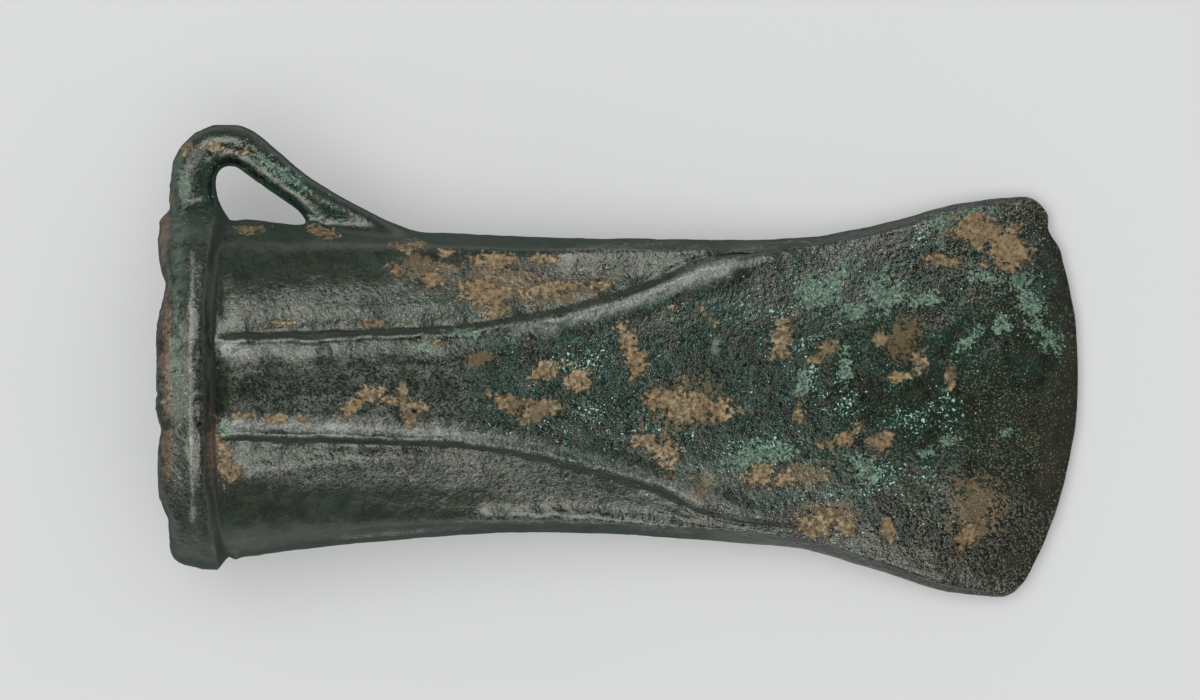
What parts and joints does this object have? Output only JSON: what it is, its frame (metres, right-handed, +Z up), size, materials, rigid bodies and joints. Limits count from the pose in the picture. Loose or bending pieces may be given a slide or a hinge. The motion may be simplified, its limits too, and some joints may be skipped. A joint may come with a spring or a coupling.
{
  "type": "socketed axe head",
  "caption": "Lying bronze axe head with a hollow tapered socket, a collar round its mouth, a side loop, wing ribs on both cheeks and a flaring curved edge.",
  "frame": {"origin": "on the ground, at the middle of the axe's outline as it lies", "axes": "+X level from the socket's mouth towards the cutting edge, +Y towards the side with the loop, +Z up. The axe's own axis dips 7.8 degrees towards the blade"},
  "size_m": [0.126, 0.0642, 0.0354],
  "materials": {
    "patinated_bronze": "dark green and brown patina over cast bronze, satin, with soil and verdigris spots"
  },
  "bodies": {
    "root": {"axe_head": "patinated_bronze"}
  },
  "joints": []
}
